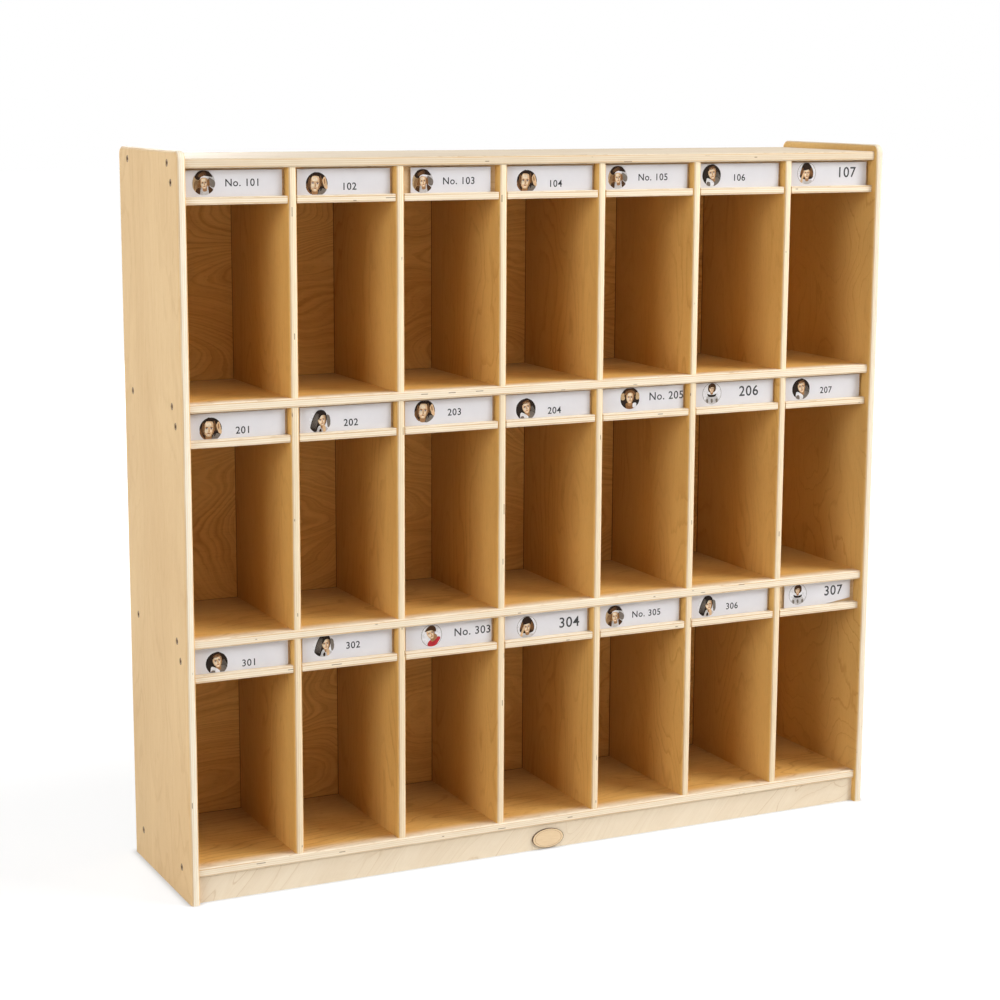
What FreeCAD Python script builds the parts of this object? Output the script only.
import FreeCAD, Part
import os

# Open cubby locker in birch plywood: two side panels, four full-width boards, dividers between
# them, a grooved-in back panel, two plinths, and a name rail with a lift-out card in every cubby.
# Millimetres. The origin is on the floor at the middle of the locker, the front faces -Y, +Z is up.

Vector = FreeCAD.Vector

# Carcase
row_names = ["lower", "middle", "upper"]
board_names = ["bottom_panel", "lower_shelf", "upper_shelf", "top_panel"]
columns = 7
cubby_width = 168.0
cubby_height = 362.0
board = 15.0
depth = 304.0
plinth_height = 44.0
side_rise = 12.0
shelf_edge_radius = 3.0
upright_edge_radius = 6.0
side_corner_radius = 13.0

# How far each front stands behind the front edge of the side panels
shelf_setback = 7.0
divider_setback = 9.0
plinth_setback = 12.0
ledge_setback = 11.0
name_board_setback = 27.0

# Back panel, held in grooves of the sides and of the top panel
back_thickness = 9.0
back_inset = 15.0
back_groove_depth = 6.0
back_floor_gap = 10.0
top_rear_setback = 3.0

# Name rail: an upright name board that stands on a grooved ledge, and a card in the groove, a little
# way in front of its board
rail_clear_height = 44.0
name_board_thickness = 12.0
ledge_thickness = 12.0
ledge_edge_radius = 1.5
card_groove_depth = 3.0
card_thickness = 1.0
card_side_play = 5.0
card_stand_off = 3.0
card_top_gap = 3.4
narrow_cards = [("upper", 3), ("lower", 7)]
narrow_card_width = 142.0
narrow_card_shift = 3.0
clipped_card = ("lower", 7)
clipped_corner_length = 70.0
clipped_corner_height = 10.0

# Plaque on the front plinth
plaque_width = 60.0
plaque_height = 34.0
plaque_thickness = 3.0
plaque_centre_height = 19.0

# Screws that come through the side panels
screw_head_diameter = 12.0
screw_head_height = 3.0
screw_shank_diameter = 5.0
screw_length = 50.0
screw_sink = 0.3
screw_recess_width = 5.0
screw_recess_depth = 2.0
screw_margin = 49.0

# Screws that hold the back panel
back_screw_head_diameter = 7.0
back_screw_head_height = 2.0
back_screw_shank_diameter = 3.5
back_screw_length = 30.0
back_screw_columns = [1, 3, 5, 7]

# Dowels
dowel_diameter = 8.0
dowel_length = 40.0
dowel_blind_depth = 10.0
dowel_margin = 50.0
plinth_dowel_columns = [2, 4, 6]
rail_dowel_diameter = 6.0
rail_dowel_length = 40.0

# Clearances
hole_clearance = 0.05
hole_end_gap = 0.5
groove_clearance = 0.1
groove_end_gap = 0.3
card_clearance = 0.3

# Largest rounding, as a share of a board's thickness, and how near counts as the same place
largest_round = 0.45
same_place = 0.001

# Sizes that follow from the ones above
pitch = cubby_width + board
width = columns * cubby_width + (columns + 1) * board
row_pitch = cubby_height + board
side_height = plinth_height + board + len(row_names) * row_pitch + side_rise
left = -width / 2
right = width / 2
inner_left = left + board
inner_right = right - board
front = -depth / 2
rear = depth / 2
back_rear = rear - back_inset
back_front = back_rear - back_thickness
shelf_radius = min(shelf_edge_radius, largest_round * board)
upright_radius = min(upright_edge_radius, largest_round * board)
ledge_radius = min(ledge_edge_radius, largest_round * ledge_thickness)
name_board_front = front + name_board_setback
name_board_rear = name_board_front + name_board_thickness
name_board_middle = (name_board_front + name_board_rear) / 2
card_rear = name_board_front - card_stand_off
card_front = card_rear - card_thickness
groove_front = card_front - card_clearance
groove_rear = card_rear + card_clearance
card_width = cubby_width - 2 * card_side_play
card_height = rail_clear_height + card_groove_depth - card_clearance - card_top_gap
card_lift = card_top_gap - card_clearance
screw_rows = [front + screw_margin, rear - screw_margin]
divider_dowel_rows = [front + divider_setback + dowel_margin, back_front - dowel_margin]
front_plinth_middle = front + plinth_setback + board / 2
rear_plinth_middle = back_front - board / 2


def board_bottom(level):
    """Underside of a full-width board, counted from the bottom panel up."""
    return plinth_height + level * row_pitch


def row_floor(row):
    """Floor of a row of cubbies, counted from the lowest."""
    return board_bottom(row) + board


def row_ceiling(row):
    """Underside of the board above a row."""
    return board_bottom(row + 1)


def ledge_top(row):
    return row_ceiling(row) - rail_clear_height


def name_board_centre(row):
    return row_ceiling(row) - rail_clear_height / 2


def cubby_left(column):
    """Left wall of a cubby, with columns counted from 1."""
    return inner_left + (column - 1) * pitch


def cubby_middle(column):
    return cubby_left(column) + cubby_width / 2


def divider_middle(number):
    """Middle of the divider to the right of the column of the same number."""
    return cubby_left(number) + cubby_width + board / 2


def block(x_low, x_high, y_low, y_high, z_low, z_high):
    corner = Vector(x_low, y_low, z_low)
    return Part.makeBox(x_high - x_low, y_high - y_low, z_high - z_low, corner)


def rod(start, direction, diameter, length):
    return Part.makeCylinder(diameter / 2, length, start, direction)


def hole(start, direction, diameter, length):
    """A round cutter that leaves the running clearance about a rod of the given diameter."""
    return rod(start, direction, diameter + 2 * hole_clearance, length)


def edges_along(shape, direction, y_place):
    """Straight edges that run along a direction in the plane at the given Y."""
    found = []
    for edge in shape.Edges:
        ends = [vertex.Point for vertex in edge.Vertexes]
        run = (ends[1] - ends[0]).normalize()
        in_plane = all(abs(end.y - y_place) < same_place for end in ends)
        if in_plane and abs(run.dot(direction)) > 1 - same_place:
            found.append(edge)
    return found


def group(shapes):
    return Part.makeCompound(shapes)


# Side panels


def side_screw_places():
    """Y and Z of each screw through a side panel: two per board and one per name rail."""
    places = []
    for level in range(len(board_names)):
        for y in screw_rows:
            places.append((y, board_bottom(level) + board / 2))
    for row in range(len(row_names)):
        places.append((name_board_middle, name_board_centre(row)))
    return places


def side_outline(x):
    """Closed outline of a side panel: square at the floor, rounded at the two top corners."""
    arc_shift = side_corner_radius * (1 - 0.5 ** 0.5)
    top_line = side_height - side_corner_radius
    front_arc = Part.Arc(
        Vector(x, front, top_line),
        Vector(x, front + arc_shift, side_height - arc_shift),
        Vector(x, front + side_corner_radius, side_height),
    )
    rear_arc = Part.Arc(
        Vector(x, rear - side_corner_radius, side_height),
        Vector(x, rear - arc_shift, side_height - arc_shift),
        Vector(x, rear, top_line),
    )
    floor_front = Vector(x, front, 0)
    floor_rear = Vector(x, rear, 0)
    edges = [
        Part.makeLine(floor_front, front_arc.StartPoint),
        front_arc.toShape(),
        Part.makeLine(front_arc.EndPoint, rear_arc.StartPoint),
        rear_arc.toShape(),
        Part.makeLine(rear_arc.EndPoint, floor_rear),
        Part.makeLine(floor_rear, floor_front),
    ]
    return Part.Face(Part.Wire(edges))


def rounded_side(x_low):
    """Side panel with every edge rounded over, apart from those at the floor."""
    panel = side_outline(x_low).extrude(Vector(board, 0, 0))
    rounded = []
    for edge in panel.Edges:
        middle = edge.CenterOfMass
        runs_across = abs(middle.x - x_low - board / 2) < same_place
        on_floor = abs(middle.z) < same_place
        if not runs_across and not on_floor:
            rounded.append(edge)
    return panel.makeFillet(upright_radius, rounded)


def side_panel(x_low, outward):
    """A side panel with its screw holes and the groove for the back panel."""
    panel = rounded_side(x_low)
    outer = x_low if outward < 0 else x_low + board
    inner = x_low + board if outward < 0 else x_low
    inward = Vector(-outward, 0, 0)
    cutters = []
    for y, z in side_screw_places():
        start = Vector(outer, y, z)
        cutters.append(hole(start, inward, screw_head_diameter, screw_sink + screw_head_height))
        cutters.append(hole(start, inward, screw_shank_diameter, board))
    groove_ends = sorted([inner, inner + outward * back_groove_depth])
    groove_top = board_bottom(len(row_names)) + back_groove_depth
    cutters.append(
        block(*groove_ends, back_front, back_rear + groove_clearance, 0, groove_top)
    )
    return panel.cut(cutters)


# Full-width boards


def screw_reach():
    """How far a side screw runs into the end of a board."""
    return screw_sink + screw_length - board


def end_screw_holes(level):
    """Holes in both ends of a board for the screws through the side panels."""
    cutters = []
    z = board_bottom(level) + board / 2
    reach = screw_reach() + hole_end_gap
    for y in screw_rows:
        cutters.append(hole(Vector(inner_left, y, z), Vector(1, 0, 0), screw_shank_diameter, reach))
        cutters.append(hole(Vector(inner_right, y, z), Vector(-1, 0, 0), screw_shank_diameter, reach))
    return cutters


def divider_dowel_span(level):
    """Lowest and highest point of the divider dowels at a board."""
    if level == 0:
        top_of_hole = board_bottom(level) + board
        low = top_of_hole - dowel_blind_depth
    elif level == len(row_names):
        low = board_bottom(level) + dowel_blind_depth - dowel_length
    else:
        low = board_bottom(level) + board / 2 - dowel_length / 2
    return low, low + dowel_length


def divider_dowel_holes(level):
    low, high = divider_dowel_span(level)
    start = low - hole_end_gap
    length = high - low + 2 * hole_end_gap
    cutters = []
    for number in range(1, columns):
        for y in divider_dowel_rows:
            place = Vector(divider_middle(number), y, start)
            cutters.append(hole(place, Vector(0, 0, 1), dowel_diameter, length))
    return cutters


def plinth_dowel_span():
    """Lowest and highest point of the dowels between the bottom panel and the plinths."""
    high = plinth_height + dowel_blind_depth
    return high - dowel_length, high


def plinth_dowel_holes(y):
    low, high = plinth_dowel_span()
    length = high - low + 2 * hole_end_gap
    cutters = []
    for column in plinth_dowel_columns:
        place = Vector(cubby_middle(column), y, low - hole_end_gap)
        cutters.append(hole(place, Vector(0, 0, 1), dowel_diameter, length))
    return cutters


def back_screw_places():
    """X and Z of the back panel screws, along the middle of every board below the top panel."""
    places = []
    for level in range(len(row_names)):
        for column in back_screw_columns:
            places.append((cubby_middle(column), board_bottom(level) + board / 2))
    return places


def back_screw_holes():
    cutters = []
    for x, z in back_screw_places():
        start = Vector(x, back_rear, z)
        cutters.append(hole(start, Vector(0, -1, 0), back_screw_head_diameter, back_screw_head_height))
        reach = back_screw_length + hole_end_gap
        cutters.append(hole(start, Vector(0, -1, 0), back_screw_shank_diameter, reach))
    return cutters


def nosed_board(level):
    """A full-width board with a rounded nose and its screw and dowel holes."""
    z_low = board_bottom(level)
    is_top = level == len(row_names)
    y_high = rear - top_rear_setback if is_top else back_front
    panel = block(inner_left, inner_right, front + shelf_setback, y_high, z_low, z_low + board)
    nose = edges_along(panel, Vector(1, 0, 0), front + shelf_setback)
    panel = panel.makeFillet(shelf_radius, nose)
    cutters = end_screw_holes(level) + divider_dowel_holes(level)
    if is_top:
        back_groove_rear = back_rear + groove_clearance
        cutters.append(
            block(inner_left, inner_right, back_front, back_groove_rear, z_low, z_low + back_groove_depth)
        )
    else:
        cutters += back_screw_holes()
    if level == 0:
        cutters += plinth_dowel_holes(front_plinth_middle) + plinth_dowel_holes(rear_plinth_middle)
    return panel.cut(cutters)


def back_panel():
    """The back panel stands in the side grooves and in the groove under the top panel."""
    tongue = back_groove_depth - groove_end_gap
    panel = block(
        inner_left - tongue,
        inner_right + tongue,
        back_front,
        back_rear,
        back_floor_gap,
        board_bottom(len(row_names)) + tongue,
    )
    return panel.cut(back_screw_holes())


def plinth(y_middle):
    panel = block(inner_left, inner_right, y_middle - board / 2, y_middle + board / 2, 0, plinth_height)
    return panel.cut(plinth_dowel_holes(y_middle))


# Dividers and name rails


def rail_dowel_hole(number, row):
    start = Vector(divider_middle(number) - rail_dowel_length / 2, name_board_middle, name_board_centre(row))
    start = start - Vector(hole_end_gap, 0, 0)
    return hole(start, Vector(1, 0, 0), rail_dowel_diameter, rail_dowel_length + 2 * hole_end_gap)


def divider(number, row):
    """An upright board between two cubbies, with a rounded front edge."""
    x_low = divider_middle(number) - board / 2
    y_low = front + divider_setback
    panel = block(x_low, x_low + board, y_low, back_front, row_floor(row), row_ceiling(row))
    panel = panel.makeFillet(upright_radius, edges_along(panel, Vector(0, 0, 1), y_low))
    cutters = divider_dowel_holes(row) + divider_dowel_holes(row + 1)
    cutters.append(rail_dowel_hole(number, row))
    return panel.cut(cutters)


def name_board(column, row):
    """The upright strip behind a card, with the ends of its screws and dowels let in."""
    x_low = cubby_left(column)
    x_high = x_low + cubby_width
    strip = block(x_low, x_high, name_board_front, name_board_rear, ledge_top(row), row_ceiling(row))
    cutters = []
    reach = screw_reach() + hole_end_gap
    height = name_board_centre(row)
    if column == 1:
        start = Vector(x_low, name_board_middle, height)
        cutters.append(hole(start, Vector(1, 0, 0), screw_shank_diameter, reach))
    else:
        cutters.append(rail_dowel_hole(column - 1, row))
    if column == columns:
        start = Vector(x_high, name_board_middle, height)
        cutters.append(hole(start, Vector(-1, 0, 0), screw_shank_diameter, reach))
    else:
        cutters.append(rail_dowel_hole(column, row))
    return strip.cut(cutters)


def ledge(column, row):
    """The strip under a name board, with a rounded front and the groove that the card stands in."""
    x_low = cubby_left(column)
    x_high = x_low + cubby_width
    y_low = front + ledge_setback
    top = ledge_top(row)
    strip = block(x_low, x_high, y_low, name_board_rear, top - ledge_thickness, top)
    rounded = edges_along(strip, Vector(1, 0, 0), y_low) + edges_along(strip, Vector(0, 0, 1), y_low)
    strip = strip.makeFillet(ledge_radius, rounded)
    groove = block(x_low, x_high, groove_front, groove_rear, top - card_groove_depth, top)
    return strip.cut(groove)


def name_card(column, row):
    """A stiff printed card that stands in the groove and can be lifted clear of it."""
    place = (row_names[row], column)
    is_narrow = place in narrow_cards
    wide = narrow_card_width if is_narrow else card_width
    middle = cubby_middle(column) + (narrow_card_shift if is_narrow else 0)
    low = ledge_top(row) - card_groove_depth + card_clearance
    x_high = middle + wide / 2
    card = block(middle - wide / 2, x_high, card_front, card_rear, low, low + card_height)
    if place == clipped_card:
        corner = Part.makePolygon([
            Vector(x_high - clipped_corner_length, card_front, low),
            Vector(x_high, card_front, low),
            Vector(x_high, card_front, low + clipped_corner_height),
            Vector(x_high - clipped_corner_length, card_front, low),
        ])
        card = card.cut(Part.Face(corner).extrude(Vector(0, card_thickness, 0)))
    return card


# Fasteners and plaque


def side_screw(y, z, outer, inward):
    """A flat-headed screw with a hexagon recess, its head let into the side panel's face."""
    start = Vector(outer, y, z) + inward * screw_sink
    head = rod(start, inward, screw_head_diameter, screw_head_height)
    shank = rod(start, inward, screw_shank_diameter, screw_length)
    corner_radius = screw_recess_width / 3 ** 0.5
    corners = []
    for corner in range(7):
        turn = FreeCAD.Rotation(Vector(1, 0, 0), corner * 360 / 6)
        corners.append(start + turn.multVec(Vector(0, 0, corner_radius)))
    recess = Part.Face(Part.makePolygon(corners)).extrude(inward * screw_recess_depth)
    return head.fuse(shank).removeSplitter().cut(recess)


def side_screws():
    screws = []
    for y, z in side_screw_places():
        screws.append(side_screw(y, z, left, Vector(1, 0, 0)))
        screws.append(side_screw(y, z, right, Vector(-1, 0, 0)))
    return group(screws)


def back_screws():
    inward = Vector(0, -1, 0)
    screws = []
    for x, z in back_screw_places():
        start = Vector(x, back_rear, z)
        head = rod(start, inward, back_screw_head_diameter, back_screw_head_height)
        shank = rod(start, inward, back_screw_shank_diameter, back_screw_length)
        screws.append(head.fuse(shank).removeSplitter())
    return group(screws)


def wooden_dowels():
    up = Vector(0, 0, 1)
    dowels = []
    for level in range(len(board_names)):
        low, high = divider_dowel_span(level)
        for number in range(1, columns):
            for y in divider_dowel_rows:
                dowels.append(rod(Vector(divider_middle(number), y, low), up, dowel_diameter, high - low))
    low, high = plinth_dowel_span()
    for column in plinth_dowel_columns:
        for y in [front_plinth_middle, rear_plinth_middle]:
            dowels.append(rod(Vector(cubby_middle(column), y, low), up, dowel_diameter, high - low))
    return group(dowels)


def rail_dowels():
    dowels = []
    for row in range(len(row_names)):
        for number in range(1, columns):
            x_low = divider_middle(number) - rail_dowel_length / 2
            start = Vector(x_low, name_board_middle, name_board_centre(row))
            dowels.append(rod(start, Vector(1, 0, 0), rail_dowel_diameter, rail_dowel_length))
    return group(dowels)


def plaque():
    """An oval of thin wood on the middle of the front plinth."""
    face_y = front + plinth_setback
    centre = Vector(0, face_y, plaque_centre_height)
    oval = Part.Ellipse(
        centre + Vector(plaque_width / 2, 0, 0),
        centre + Vector(0, 0, plaque_height / 2),
        centre,
    )
    return Part.Face(Part.Wire(oval.toShape())).extrude(Vector(0, -plaque_thickness, 0))


def locker():
    """Every node of the locker by name."""
    nodes = {
        "left_side_panel": side_panel(left, -1),
        "right_side_panel": side_panel(inner_right, 1),
        "back_panel": back_panel(),
        "front_plinth": plinth(front_plinth_middle),
        "rear_plinth": plinth(rear_plinth_middle),
        "side_screws": side_screws(),
        "back_screws": back_screws(),
        "wooden_dowels": wooden_dowels(),
        "rail_dowels": rail_dowels(),
        "plaque": plaque(),
    }
    for level, name in enumerate(board_names):
        nodes[name] = nosed_board(level)
    for row, row_name in enumerate(row_names):
        cubbies = range(1, columns + 1)
        nodes["name_boards_" + row_name] = group([name_board(column, row) for column in cubbies])
        nodes["card_ledges_" + row_name] = group([ledge(column, row) for column in cubbies])
        for column in cubbies:
            nodes["name_card_%s_%d" % (row_name, column)] = name_card(column, row)
        for number in range(1, columns):
            nodes["divider_%s_%d" % (row_name, number)] = divider(number, row)
    return nodes


os.makedirs("parts", exist_ok=True)
for node, shape in locker().items():
    shape.exportStep("parts/%s.step" % node)
print("outer size %.1f x %.1f x %.1f mm, card lift %.1f mm" % (width, depth, side_height, card_lift))
